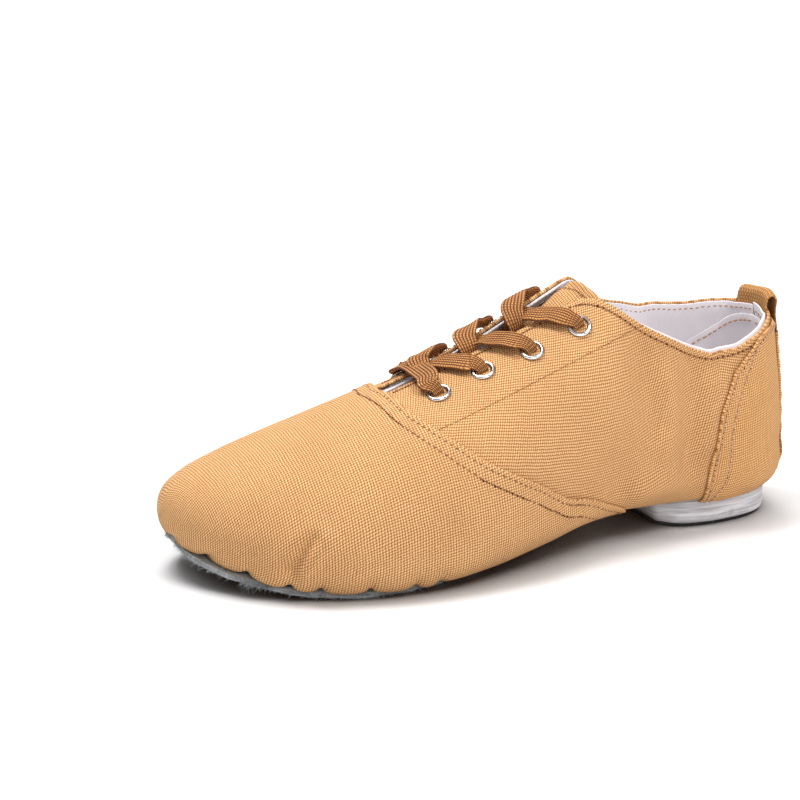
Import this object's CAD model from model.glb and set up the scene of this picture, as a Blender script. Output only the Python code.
# A laced canvas shoe with a low painted heel and a suede forefoot sole.
# It stands on z = 0, the toe towards -y, the back of the heel at +y, the outer side at +x.
# The shapes are worked out in millimetres; make_mesh turns them into metres.
import math

import bpy
import numpy as np
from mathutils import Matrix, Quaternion, Vector


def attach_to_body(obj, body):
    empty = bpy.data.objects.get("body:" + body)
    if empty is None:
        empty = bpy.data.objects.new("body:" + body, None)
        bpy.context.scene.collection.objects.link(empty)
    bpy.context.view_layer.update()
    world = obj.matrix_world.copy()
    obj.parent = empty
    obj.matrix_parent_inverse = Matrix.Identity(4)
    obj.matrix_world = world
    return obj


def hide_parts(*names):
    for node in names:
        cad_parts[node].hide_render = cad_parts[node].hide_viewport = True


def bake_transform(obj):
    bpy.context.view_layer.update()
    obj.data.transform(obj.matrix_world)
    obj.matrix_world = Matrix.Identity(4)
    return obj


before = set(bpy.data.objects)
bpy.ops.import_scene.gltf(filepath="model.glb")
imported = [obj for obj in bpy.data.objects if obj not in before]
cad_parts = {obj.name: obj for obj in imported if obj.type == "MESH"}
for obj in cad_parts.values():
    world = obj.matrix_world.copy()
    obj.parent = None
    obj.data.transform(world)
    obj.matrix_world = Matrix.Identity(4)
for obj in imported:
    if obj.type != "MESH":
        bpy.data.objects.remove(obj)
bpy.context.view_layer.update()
scene = bpy.context.scene
DENSITY = 1.0
OUTER, INNER = 1, -1
SIDE_NAMES = {OUTER: "outer", INNER: "inner"}

# ---------------------------------------------------------------- the form
# Places on the form are given as
#   station: -1 centre back, 0..11 the rows of FORM, 11 the toe tip
#   level:   -1 feather edge, 0 widest line, 1 ridge (on one side)
#   girth:   0 outer feather edge, 2 ridge, 4 inner feather edge
#   depth:   mm inwards from the surface; a shift is mm outwards
# Columns: distance towards the toe, x outer, x inner, x ridge, z base, z widest, z ridge,
# base width share outer and inner, exponents of the upper section across and up
FORM = np.array([
    [42, 30, -29.5, 0, 12, 31, 128, .84, .84, 2.9, 1.45],
    [66, 30.5, -29, -.5, 12, 30, 111, .78, .76, 2.7, 1.55],
    [92, 34, -29.5, -1.5, 11.6, 28, 92, .68, .62, 2.4, 1.70],
    [118, 40, -32.5, -3, 7.6, 23.5, 79.5, .70, .64, 2.2, 1.85],
    [142, 45, -37, -5, 4.6, 18.8, 70, .78, .74, 2.1, 1.95],
    [165, 47, -41, -7, 3.8, 16, 62, .86, .84, 2.1, 2],
    [187, 45, -43, -9, 3.8, 15.2, 54.5, .88, .86, 2.1, 2],
    [206, 38.5, -42, -10.5, 4.4, 16, 48, .88, .86, 2.1, 2],
    [223, 28.5, -38.5, -11.5, 7, 18.4, 42, .88, .86, 2.1, 2],
    [237, 14.5, -32, -12, 10.8, 21.6, 36.5, .55, .55, 2.1, 2],
    [246, 0, -22.5, -11.5, 14.6, 23.4, 31, .04, .04, 2, 2],
    [249, -11, -11, -11, 22.6, 22.6, 22.6, .03, .03, 2, 2]], float)
TOE = len(FORM)-1
ORIGIN_Y = 30          # y where the distance column is zero
HEEL_DEPTH = 41.0      # from row 0 to the centre back
BASE_SHARE = 0.86      # part of the heel depth left at the feather edge
BASE_EXP = 2.2         # roundness below the widest line
BACK_EXP = 2.15        # roundness of the heel in plan

# mirrored rows before the first and after the last, for the spline
row_before = FORM[1].copy()
row_before[0] = 2*FORM[0, 0]-FORM[1, 0]
row_before[4:7] = 2*FORM[0, 4:7]-FORM[1, 4:7]
row_after = FORM[TOE-1].copy()
row_after[[1, 2, 4, 6]] = FORM[TOE-1, [2, 1, 6, 4]]
PADDED_FORM = np.vstack([row_before, FORM, row_after])


def segments(count):
    return int(count*DENSITY)


def floats(*values):
    return np.broadcast_arrays(*[np.asarray(value, float) for value in values])


def mix(start, end, part):
    return start+(end-start)*part


def ease(value, start, end):
    """smooth step from 0 to 1"""
    part = np.clip((np.asarray(value, float)-start)/(end-start), 0, 1)
    return part*part*(3-2*part)


def fade(value, start, end):
    return 1-ease(value, start, end)


def bell(value, width):
    return np.exp(-(value/width)**2)


def unit(vectors):
    return vectors/(np.linalg.norm(vectors, axis=-1, keepdims=True)+1e-12)


def cos_power(angle, exponent):
    return np.clip(np.cos(angle), 0, 1)**(2/exponent)


def sin_power(angle, exponent):
    return np.clip(np.sin(angle), 0, 1)**(2/exponent)


def catmull_rom(before, start, end, after, part):
    return 0.5*((2*start)+(end-before)*part+(2*before-5*start+4*end-after)*part*part
                + (3*start-before-3*end+after)*part**3)


def form_row(station):
    place = np.clip(np.asarray(station, float), 0, TOE-1e-6)
    i = np.floor(place).astype(int)
    return catmull_rom(*[PADDED_FORM[i+k] for k in range(4)], (place-i)[..., None])


def to_girth(level, side):
    return np.where(side > 0, 1+level, 3-level)


def split_girth(girth):
    girth = np.asarray(girth, float)
    return np.where(girth <= 2, girth-1, 3-girth), np.where(girth <= 2, 1., -1.)


# (station, mm) by which the inner facing stands up higher than the outer one
GAPE = np.array([
    (1.0, 0), (1.25, .6), (1.5, 1.9), (1.7, 3.5), (1.9, 4.6), (2.15, 4.9), (2.5, 4.6),
    (2.9, 3.8), (3.35, 2.2), (3.84, .8), (4.2, .2), (4.5, 0)])
GAPE_STATIONS = np.linspace(0, 6, 601)
GAPE_HEIGHTS = np.convolve(
    np.pad(np.interp(GAPE_STATIONS, *GAPE.T), 15, mode="edge"), np.ones(31)/31, "valid")


def gape(station, girth):
    height = np.interp(station, GAPE_STATIONS, GAPE_HEIGHTS)
    return height*ease(girth, 1.90, 2.08)*fade(girth, 2.12, 2.82)


def side_point(station, level, side):
    station, level, side = floats(station, level, side)
    # past the centre back or the ridge the surface carries on over the other side
    beyond = station < -1
    station = np.where(beyond, -2-station, station)
    side = np.where(beyond, -side, side)
    beyond = level > 1
    level = np.maximum(np.where(beyond, 2-level, level), -1)
    side = np.where(beyond, -side, side)
    station = np.minimum(station, TOE-0.0005)
    (distance, x_outer, x_inner, x_ridge, z_base, z_wide, z_ridge, share_outer, share_inner,
     exp_across, exp_up) = np.moveaxis(form_row(np.maximum(station, 0)), -1, 0)
    reach = np.where(side > 0, x_outer, x_inner)-x_ridge
    share = np.maximum(np.where(side > 0, share_outer, share_inner), 0.03)
    angle = np.abs(level)*np.pi/2
    upper = level >= 0
    base_curve = cos_power(angle, BASE_EXP)
    across = np.where(upper, cos_power(angle, exp_across), share+(1-share)*base_curve)
    z = np.where(upper, z_wide+(z_ridge-z_wide)*sin_power(angle, exp_up),
                 z_wide-(z_wide-z_base)*sin_power(angle, BASE_EXP))
    back_angle = np.clip(-station, 0, 1)*np.pi/2
    depth = HEEL_DEPTH*np.where(upper, cos_power(angle, 2.9),
                                BASE_SHARE+(1-BASE_SHARE)*base_curve)
    x = x_ridge+reach*across*cos_power(back_angle, BACK_EXP)
    y = ORIGIN_Y-distance+depth*sin_power(back_angle, BACK_EXP)
    lift = gape(station, to_girth(level, side))
    return np.stack([x-0.2*lift, y, z+lift], -1)


def side_normal(station, level, side):
    station, level, side = floats(station, level, side)
    inside = np.minimum(station, TOE-0.03)
    along = side_point(inside+.03, level, side)-side_point(inside-.03, level, side)
    up = side_point(inside, level+.03, side)-side_point(inside, level-.03, side)
    outward = unit(-side[..., None]*np.cross(along, up))
    at_tip = np.clip((station-(TOE-.05))/.05, 0, 1)[..., None]
    return unit(outward*(1-at_tip)+np.array([0, -1., 0])*at_tip)


def point(station, girth):
    return side_point(station, *split_girth(girth))


def normal(station, girth):
    return side_normal(station, *split_girth(girth))


def offset(station, girth, depth):
    """points at a depth under the surface, and the surface normals there"""
    normals = normal(station, girth)
    return point(station, girth)-np.asarray(depth)[..., None]*normals, normals


def monotone(*pairs):
    """smooth interpolation through pairs that never overshoots"""
    xs, ys = np.array(pairs, float).T
    steps = np.diff(xs)
    slopes = np.diff(ys)/steps
    tangents = np.zeros(len(xs))
    for i in range(1, len(xs)-1):
        if slopes[i-1]*slopes[i] > 0:
            weight1 = 2*steps[i]+steps[i-1]
            weight2 = steps[i]+2*steps[i-1]
            tangents[i] = (weight1+weight2)/(weight1/slopes[i-1]+weight2/slopes[i])
    tangents[0], tangents[-1] = slopes[0], slopes[-1]

    def curve(x):
        x = np.clip(np.asarray(x, float), xs[0], xs[-1])
        i = np.clip(np.searchsorted(xs, x)-1, 0, len(steps)-1)
        part = (x-xs[i])/steps[i]
        return ((1+2*part)*(1-part)**2*ys[i]+part*(1-part)**2*steps[i]*tangents[i]
                + part*part*(3-2*part)*ys[i+1]+part*part*(part-1)*steps[i]*tangents[i+1])
    return curve


# top edge of each quarter: (station, level)
TOPLINE = {
    OUTER: monotone(
        (-1, .425), (-.56, .40), (-.41, .383), (-.25, .367), (-.11, .352), (.07, .35),
        (.37, .375), (.8, .433), (1.2, .517), (1.45, .60), (1.62, .685), (1.76, .77),
        (1.88, .84), (2.0, .89), (2.18, .918), (2.7, .927), (3.41, .935), (4.1, .95),
        (4.99, .945), (6, .94)),
    INNER: monotone(
        (-1, .425), (-.47, .41), (-.23, .40), (.2, .417), (.6, .455), (.97, .50), (1.3, .58),
        (1.55, .68), (1.75, .775), (1.9, .83), (2.1, .862), (2.5, .868), (3.5, .872),
        (4.17, .915), (4.99, .94), (6, .94))}
# back edge of the vamp: (level, station)
VAMP_SEAM = monotone(
    (-1, 1.5), (-.633, 1.66), (-.458, 1.88), (-.1, 2.45), (.1, 3.13), (.225, 3.71),
    (.333, 4.16), (.467, 4.54), (.6, 4.84), (.733, 5.03), (.908, 5.11), (1, 5.17))
# front edge of the heel counter: (level, station)
COUNTER_FRONT = monotone(
    (-1, .20), (-.66, .182), (-.3, .156), (-.12, .136), (.014, .106), (.105, .056),
    (.181, .0), (.246, -.052), (.295, -.101))
COUNTER_CORNER = 0.295  # level of its upper front corner
# top edge of the heel counter: (station, level)
COUNTER_TOP = monotone(
    (-1, .392), (-.5, .383), (-.335, .366), (-.236, .338), (-.171, .319), (-.101, .295),
    (.3, .295))
# eyelets from the front: station, girth on the outer side, girth on the inner side
EYELETS = ((4.44, 1.775, 2.275), (3.68, 1.783, 2.315), (2.91, 1.750, 2.310),
           (2.17, 1.733, 2.295))


def topline_girth(station, side):
    return to_girth(TOPLINE[side](station), side)


def eyelet_girth(k, side):
    return EYELETS[k][1 if side > 0 else 2]


# ---------------------------------------------------------------- noise and folds
NOISE_TABLE = np.random.default_rng(5).random((32, 32, 32))*2-1


def noise(places, scale, start=0.0):
    """smooth value noise from -1 to 1, with cells of the given size"""
    places = places/scale+start+100
    cell = np.floor(places).astype(int)
    part = places-cell
    part = part*part*part*(part*(part*6-15)+10)
    total = 0
    for corner in np.ndindex(2, 2, 2):
        weight = np.prod(np.where(corner, part, 1-part), axis=-1)
        index = tuple(np.moveaxis((cell+corner) % 32, -1, 0))
        total = total+weight*NOISE_TABLE[index]
    return total


def distance_to(places, targets):
    """distance from each place to the nearest of the target points"""
    flat = places.reshape(-1, 3)
    nearest = np.empty(len(flat))
    chunk = 20000
    for k in range(0, len(flat), chunk):
        gaps = flat[k:k+chunk, None, :]-targets[None]
        nearest[k:k+chunk] = np.min(np.linalg.norm(gaps, axis=-1), axis=1)
    return nearest.reshape(places.shape[:-1])


def folds(places, table):
    """soft folds; each row is start, end, width, height"""
    total = 0
    for start, end, width, height in table:
        start = np.array(start, float)
        run = np.array(end, float)-start
        part = np.clip(((places-start) @ run)/(run @ run), 0, 1)
        away = np.linalg.norm(places-(start+part[..., None]*run), axis=-1)
        total = total+height*np.exp(-(away/width)**2/2)
    return total


OUTER_FOLDS = (
    ((27, -24, 66), (30, -25, 28), 4.6, -1.15), ((28, -33, 62), (30.5, -34, 36), 5.0, 0.75),
    ((25, -46, 74), (30, -40, 46), 4.5, -0.85), ((30, -46, 21), (29.5, -31, 23), 4.5, 1.0),
    ((25, -60, 80), (30, -58, 50), 7, 0.5), ((29, -14, 36), (28, -12, 56), 3.5, 0.5),
    ((32, -90, 30), (30, -60, 28), 6, -0.6), ((33, -100, 14), (30, -66, 18), 3.2, 0.5),
    ((31, -72, 62), (35, -104, 44), 9, 0.4))
INNER_FOLDS = (
    ((-26, -22, 70), (-29, -28, 30), 5.0, -1.1), ((-28, -36, 60), (-29, -38, 34), 5.5, 0.8),
    ((-25, -52, 76), (-29, -46, 44), 5, -0.8), ((-29, -52, 20), (-29, -30, 24), 4.5, 0.9),
    ((-30, -95, 28), (-29, -62, 30), 6, -0.7), ((-29, -70, 60), (-32, -98, 40), 8, 0.5))
VAMP_FOLDS = (
    ((33.8, -187.5, 12.5), (37.2, -180.0, 24.0), 2.1, -4.0),
    ((36.2, -183.8, 13.5), (38.4, -177.5, 23.5), 2.8, 2.7),
    ((31.8, -190.5, 14.5), (34.5, -184.5, 24.5), 2.6, 0.7),
    ((31, -193, 12), (33.5, -187, 22), 3.0, 0.35),
    ((44, -128, 10), (42, -112, 24), 5, 0.4), ((-42, -150, 12), (-38, -120, 26), 6, 0.5))
COUNTER_FOLDS = (((27, -8, 18), (24, 6, 50), 6, 0.3), ((26, 0, 30), (20, 20, 24), 5, -0.3))
EYELET_POINTS = np.array([point(row[0], row[k]) for row in EYELETS for k in (1, 2)])


def quarter_drape(station, girth):
    """outward shift shared by canvas, stays and linings of both quarters"""
    station, girth = floats(station, girth)
    places = point(station, girth)
    shift = 0.45*noise(places, 26, 3.1)+0.16*noise(places, 10, 7.7)
    shift = shift+np.where(girth <= 2, 3.0*folds(places, OUTER_FOLDS),
                           2.2*folds(places, INNER_FOLDS))
    # calm round the eyelets, at the heel and along the feather edge
    eyelets = ease(distance_to(places, EYELET_POINTS), 5.0, 12.0)
    heel = 0.25+0.75*ease(station, -0.55, 0.15)
    return shift*eyelets*heel*(0.3+0.7*ease(places[..., 2], 10, 17))


# distances towards the toe at which the lower edge of the vamp is pinched
PINCHES = {
    OUTER: np.array([165.4, 174.5, 190.6, 206.8, 216.5, 228.4, 238.5, 246.5]),
    INNER: np.array([160.0, 172.0, 186.0, 199.0, 210.0, 221.5, 231.0, 239.5, 246.0])}


def vamp_drape(station, girth):
    station, girth = floats(station, girth)
    places = point(station, girth)
    level, side = split_girth(girth)
    distance = ORIGIN_Y-places[..., 1]
    shift = 0.35*noise(places, 34, 1.7)+0.10*noise(places, 12, 4.4)+folds(places, VAMP_FOLDS)
    # gathered lower edge: pinched at the marks, swelling between them
    above = np.abs(level+1)*18
    for pinch_side, marks in PINCHES.items():
        k = np.clip(np.searchsorted(marks, distance)-1, 0, len(marks)-2)
        part = np.clip((distance-marks[k])/(marks[k+1]-marks[k]), 0, 1)
        away = np.min(np.abs(distance[..., None]-marks), axis=-1)
        swell = 0.75*np.sin(np.pi*part)**0.7*bell(np.maximum(above-3, 0), 6.5)
        pinch = 1.25*bell(away, 1.1)*bell(above, 9.0)+0.5*bell(away, 2.4)*bell(above, 14.0)
        shift = shift+(side == pinch_side)*ease(distance, 150, 168)*(swell-pinch)
    return shift*ease(TOE-station, 0.0, 0.35)


# ---------------------------------------------------------------- cloth coordinates
# arc lengths on the form, looked up by station and girth
STATION_CELLS, GIRTH_CELLS = 720, 240
lattice = point(*np.meshgrid(np.linspace(-1, TOE, STATION_CELLS+1),
                             np.linspace(0, 4, GIRTH_CELLS+1), indexing="ij"))
ALONG = np.zeros(lattice.shape[:2])
ALONG[1:] = np.cumsum(np.linalg.norm(np.diff(lattice, axis=0), axis=-1), axis=0)
ACROSS = np.zeros(lattice.shape[:2])
ACROSS[:, 1:] = np.cumsum(np.linalg.norm(np.diff(lattice, axis=1), axis=-1), axis=1)
ACROSS = ACROSS-ACROSS[:, [GIRTH_CELLS//2]]


def look_up(table, station, girth):
    row = (np.asarray(station, float)+1)/(TOE+1)*STATION_CELLS
    column = np.asarray(girth, float)/4*GIRTH_CELLS
    row = np.clip(row, 0, STATION_CELLS-0.001)
    column = np.clip(column, 0, GIRTH_CELLS-0.001)
    i, j = row.astype(int), column.astype(int)
    row, column = row-i, column-j
    return (table[i, j]*(1-row)*(1-column)+table[i+1, j]*row*(1-column)
            + table[i, j+1]*(1-row)*column+table[i+1, j+1]*row*column)


def cloth_at(station, girth, start, turn):
    """thread coordinates from a starting station, turned by degrees"""
    station, girth = floats(station, girth)
    along = look_up(ALONG, station, girth)-look_up(ALONG, np.full_like(station, start), girth)
    across = look_up(ACROSS, station, girth)
    cosine, sine = math.cos(math.radians(turn)), math.sin(math.radians(turn))
    return np.stack([along*cosine+across*sine, -along*sine+across*cosine], -1)


# ---------------------------------------------------------------- mesh helpers
def make_mesh(name, points, faces, cloth, *materials, face_materials=None):
    mesh = bpy.data.meshes.new(name)
    mesh.from_pydata((np.asarray(points)*0.001).tolist(), [], faces)
    mesh.update()
    if cloth is not None:
        values = np.zeros((len(points), 3), np.float32)
        values[:, :cloth.shape[1]] = cloth
        attribute = mesh.attributes.new("cloth", "FLOAT_VECTOR", "POINT")
        attribute.data.foreach_set("vector", values.ravel())
    for material in materials:
        mesh.materials.append(material)
    if face_materials is not None:
        mesh.polygons.foreach_set("material_index", np.asarray(face_materials, np.int32))
    mesh.polygons.foreach_set("use_smooth", np.ones(len(mesh.polygons), bool))
    obj = bpy.data.objects.new(name, mesh)
    scene.collection.objects.link(obj)
    return obj


def tube_faces(rings, size, base=0, caps=True, closed=False):
    """quads between rings of points; closed joins the last ring to the first"""
    faces = []
    for i in range(rings if closed else rings-1):
        here, after = base+i*size, base+(i+1) % rings*size
        for j in range(size):
            k = (j+1) % size
            faces.append((here+j, here+k, after+k, after+j))
    if caps:
        faces.append(tuple(base+j for j in reversed(range(size))))
        faces.append(tuple(base+(rings-1)*size+j for j in range(size)))
    return faces


EDGE_STEPS = 4  # round a sheet's edge


def shell(name, outer, inner, material, cloth, tip=None):
    """closed sheet between two grids of points, with rounded edges.
    tip = (outer apex, inner apex, cloth) closes the last row to a point."""
    rows, cols = outer.shape[:2]
    count = rows*cols
    outer, inner, cloth = [grid.reshape(count, -1) for grid in (outer, inner, cloth)]
    faces = [(i*cols+j, i*cols+j+1, (i+1)*cols+j+1, (i+1)*cols+j)
             for i in range(rows-1) for j in range(cols-1)]
    last = (rows-1)*cols
    loop = list(range(cols))+[i*cols+cols-1 for i in range(1, rows)]
    if tip is not None:
        outer, inner, cloth = [np.vstack(pair) for pair in zip((outer, inner, cloth), tip)]
        faces += [(last+j, last+j+1, count) for j in range(cols-1)]
        loop += [count, last]
        count += 1
    else:
        loop += [last+j for j in range(cols-2, -1, -1)]
    loop = np.array(loop+[i*cols for i in range(rows-2, 0, -1)])
    faces += [tuple(k+count for k in reversed(face)) for face in faces]

    middle = (outer[loop]+inner[loop])/2
    across = outer[loop]-inner[loop]
    thickness = np.linalg.norm(across, axis=-1, keepdims=True)
    across = across/(thickness+1e-9)
    outward = unit(np.cross(unit(np.roll(middle, -1, 0)-np.roll(middle, 1, 0)), across))
    points, cloths, rings = [outer, inner], [cloth, cloth], [loop]
    for k in range(1, EDGE_STEPS):
        angle = math.pi/2-math.pi*k/EDGE_STEPS
        points.append(middle+outward*(thickness/2)*math.cos(angle)
                      + across*(thickness/2)*math.sin(angle))
        cloths.append(cloth[loop])
        rings.append(2*count+(k-1)*len(loop)+np.arange(len(loop)))
    rings.append(loop+count)
    for ring, after in zip(rings[:-1], rings[1:]):
        faces += np.stack([np.roll(ring, -1), ring, after, np.roll(after, -1)], -1).tolist()
    return make_mesh(name, np.vstack(points), faces, np.vstack(cloths), material)


def sheet(name, station, girth, depths, material, shift, inner_shift=None,
          start=0.0, turn=0.0, cloth=None, tip=False):
    """sheet over the form between two depths"""
    if inner_shift is None:
        inner_shift = shift
    if cloth is None:
        cloth = cloth_at(station, girth, start, turn)
    outer, _ = offset(station, girth, depths[0]-shift)
    inner, _ = offset(station, girth, depths[1]-inner_shift)
    ends = None
    if tip:
        apex = point(TOE-0.0006, 1.0)
        ends = [(apex+(0, depth, 0)).reshape(1, 3) for depth in depths]
        ends.append(cloth_at(TOE-0.001, 2.0, start, turn).reshape(1, 2))
    return shell(name, outer, inner, material, cloth, ends)


def wrap_sheet(name, station, girth, depths, material, shift, inner_shift=None):
    """sheet round the back of the heel; its threads run from the centre back"""
    side = split_girth(girth)[1]
    cloth = np.stack([look_up(ALONG, station, girth)*side,
                      -np.abs(look_up(ACROSS, station, girth))], -1)
    return sheet(name, station, girth, depths, material, shift, inner_shift, cloth=cloth)


# ---------------------------------------------------------------- materials
class Shader:
    """short calls for the node tree of one material"""

    def __init__(self, name):
        self.material = bpy.data.materials.new(name)
        self.material.use_nodes = True
        self.tree = self.material.node_tree
        self.bsdf = self.tree.nodes["Principled BSDF"]

    def node(self, kind, **settings):
        node = self.tree.nodes.new(kind)
        for key, value in settings.items():
            setattr(node, key, value)
        return node

    def feed(self, socket, value):
        if isinstance(value, bpy.types.NodeSocket):
            self.tree.links.new(value, socket)
        else:
            socket.default_value = value

    def set(self, **inputs):
        """Principled inputs, with _ for the spaces in their names"""
        for key, value in inputs.items():
            self.feed(self.bsdf.inputs[key.replace("_", " ")], value)

    def math(self, operation, *values):
        node = self.node("ShaderNodeMath", operation=operation)
        for socket, value in zip(node.inputs, values):
            self.feed(socket, value)
        return node.outputs[0]

    def add(self, first, second):
        return self.math("ADD", first, second)

    def times(self, first, second):
        return self.math("MULTIPLY", first, second)

    def blend(self, part, first, second):
        node = self.node("ShaderNodeMix", data_type="RGBA")
        for k, value in ((0, part), (6, first), (7, second)):
            self.feed(node.inputs[k], value)
        return node.outputs[2]

    def noise(self, vector, scale=1.0, detail=3.0, rough=0.5):
        node = self.node("ShaderNodeTexNoise")
        for key, value in (("Vector", vector), ("Scale", scale), ("Detail", detail),
                           ("Roughness", rough)):
            self.feed(node.inputs[key], value)
        return node.outputs["Fac"]

    def ramp(self, value, span, to=(0.0, 1.0)):
        node = self.node("ShaderNodeMapRange", interpolation_type="SMOOTHSTEP")
        for k, number in enumerate((value, *span, *to)):
            self.feed(node.inputs[k], number)
        return node.outputs[0]

    def cloth(self):
        return self.node("ShaderNodeAttribute", attribute_name="cloth").outputs["Vector"]

    def place(self):
        return self.node("ShaderNodeTexCoord").outputs["Object"]

    def bump(self, height, distance):
        node = self.node("ShaderNodeBump")
        self.feed(node.inputs["Distance"], distance)
        self.feed(node.inputs["Height"], height)
        return node.outputs[0]

    def xyz(self, vector):
        node = self.node("ShaderNodeSeparateXYZ")
        self.feed(node.inputs[0], vector)
        return node.outputs

    def scaled(self, vector, factors):
        node = self.node("ShaderNodeVectorMath", operation="MULTIPLY")
        self.feed(node.inputs[0], vector)
        self.feed(node.inputs[1], factors)
        return node.outputs[0]


def srgb(*channels):
    """sRGB 0..255 to a linear colour"""
    scaled = [channel/255 for channel in channels]
    return tuple(c/12.92 if c <= 0.04045 else ((c+0.055)/1.055)**2.4 for c in scaled)+(1,)


TAN_LIGHT, TAN, TAN_DARK = srgb(246, 208, 158), srgb(222, 171, 115), srgb(138, 84, 40)


def woven(name, base=TAN, light=TAN_LIGHT, dark=TAN_DARK, pitch=(1.0, 1.0), depth=0.00016,
          rib=0.0, sheen=0.12, rough=0.88, mottle=0.10, soil=None):
    """plain weave on the cloth coordinates. pitch: thread pitches in mm; depth: bump in m;
    rib > 0 weakens the second set of threads; soil: noise span, strength, colour"""
    net = Shader(name)
    cloth = net.cloth()
    place = net.place()
    # threads wander a little
    drift = net.noise(net.scaled(cloth, (0.12, 0.12, 1)), detail=2.0)
    wobble = net.noise(net.scaled(cloth, (0.9, 0.9, 1)), detail=1.0)
    x, y, _ = net.xyz(cloth)
    x = net.add(net.add(x, net.times(drift, 1.1)), net.times(wobble, 0.28))
    y = net.add(net.add(y, net.times(drift, -0.9)), net.times(wobble, -0.22))
    wave_x = net.math("SINE", net.times(x, math.pi/pitch[0]))
    wave_y = net.math("SINE", net.times(y, math.pi/pitch[1]))
    check = net.times(wave_x, wave_y)
    warp = net.times(net.add(net.math("ABSOLUTE", wave_x), check), 0.5)
    weft = net.times(net.math("SUBTRACT", net.math("ABSOLUTE", wave_y), check), 0.5)
    if rib:
        weft = net.times(weft, 1.0-rib)
    height = net.math("MAXIMUM", warp, weft)
    # slubs: each thread has its own tone
    slub_x = net.noise(net.scaled(cloth, (1.9/pitch[0], 0.05, 1)), detail=1.5)
    slub_y = net.noise(net.scaled(cloth, (0.05, 1.9/pitch[1], 1)), detail=1.5)
    slub = net.times(net.add(slub_x, slub_y), 0.5)
    fibre = net.noise(net.scaled(cloth, (7, 7, 1)), rough=0.6)
    cloud = net.noise(place, scale=28.0, rough=0.55)
    colour = net.blend(net.ramp(height, span=(0.12, 0.80)), dark, base)
    colour = net.blend(net.ramp(height, span=(0.62, 1.0), to=(0, 0.75)), colour, light)
    colour = net.blend(net.ramp(slub, span=(0.35, 0.65), to=(0, 0.16)), colour, dark)
    colour = net.blend(net.ramp(cloud, span=(0.35, 0.7), to=(0, mottle)), colour, dark)
    colour = net.blend(net.ramp(fibre, span=(0.45, 0.75), to=(0, 0.12)), colour, light)
    if soil:
        span, strength, soil_colour = soil
        spots = net.noise(place, scale=55.0, detail=4.0, rough=0.6)
        colour = net.blend(net.ramp(spots, span=span, to=(0, strength)), colour, soil_colour)
    net.set(Base_Color=colour,
            Roughness=net.ramp(height, span=(0, 1), to=(min(rough+0.08, 1), rough-0.08)),
            Sheen_Weight=sheen, Sheen_Roughness=0.45, Sheen_Tint=light,
            Specular_IOR_Level=0.22)
    relief = net.add(height, net.times(fibre, 0.22))
    relief = net.add(relief, net.times(slub, 0.35))
    net.set(Normal=net.bump(relief, distance=depth))
    return net.material


VAMP_CANVAS = woven("canvas_vamp", pitch=(1.02, 0.98), depth=0.00019)
QUARTER_CANVAS = woven("canvas_quarter", pitch=(0.98, 1.05), depth=0.00018)
COUNTER_CANVAS = woven("canvas_counter", base=srgb(222, 167, 103), pitch=(0.98, 0.98))
TONGUE_CANVAS = woven("canvas_tongue", depth=0.00017)
STRIP_CANVAS = woven("canvas_strip", base=srgb(214, 156, 92), pitch=(0.9, 1.0),
                     depth=0.00015)
TAPE = woven("tape_ribbed", base=srgb(214, 162, 102), light=srgb(236, 192, 134),
             dark=srgb(138, 86, 42), pitch=(0.7, 1.35), depth=0.00030, rib=0.45)
LINING_COTTON = woven("lining_cotton", base=srgb(244, 240, 243), light=srgb(250, 248, 250),
                      dark=srgb(212, 204, 210), pitch=(0.42, 0.42), depth=0.00005,
                      sheen=0.2, rough=0.92, mottle=0.16)
SOCK_COTTON = woven("sock_cotton", base=srgb(226, 220, 222), light=srgb(238, 234, 236),
                    dark=srgb(178, 168, 170), pitch=(0.5, 0.5), depth=0.00007, rough=0.92,
                    soil=((0.5, 0.8), 0.25, srgb(190, 176, 168)))
STAY_COTTON = woven("stay_cotton", base=srgb(228, 222, 214), light=srgb(240, 236, 230),
                    dark=srgb(178, 168, 156), pitch=(0.6, 0.6), depth=0.00008)


def thread(name, light, dark):
    net = Shader(name)
    cloth = net.cloth()
    along = net.times(net.xyz(cloth)[0], 9.0)
    around = net.times(net.xyz(cloth)[1], 3.0)
    twist = net.math("SINE", net.add(along, around))
    fibre = net.noise(net.place(), scale=900.0, detail=2.0)
    tone = net.times(net.ramp(twist, span=(-0.6, 0.8)), net.ramp(fibre, span=(0.2, 0.6)))
    net.set(Base_Color=net.blend(tone, dark, light), Roughness=0.7, Sheen_Weight=0.15,
            Normal=net.bump(twist, distance=0.00006))
    return net.material


TAN_THREAD = thread("thread_tan", srgb(206, 148, 88), srgb(128, 80, 40))
BROWN_THREAD = thread("thread_brown", srgb(176, 118, 66), srgb(96, 54, 26))
DARK_THREAD = thread("thread_dark", srgb(120, 70, 36), srgb(58, 32, 16))
PALE_THREAD = thread("thread_pale", srgb(226, 190, 165), srgb(158, 116, 92))
INNER_THREAD = thread("thread_inner", srgb(214, 164, 118), srgb(164, 116, 76))


def hole_material():
    net = Shader("needle_hole")
    grain = net.noise(net.place(), scale=700.0, detail=2.0)
    net.set(Base_Color=net.blend(grain, srgb(44, 22, 10), srgb(96, 54, 26)),
            Roughness=1.0, Specular_IOR_Level=0.05)
    return net.material


HOLE = hole_material()


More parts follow.
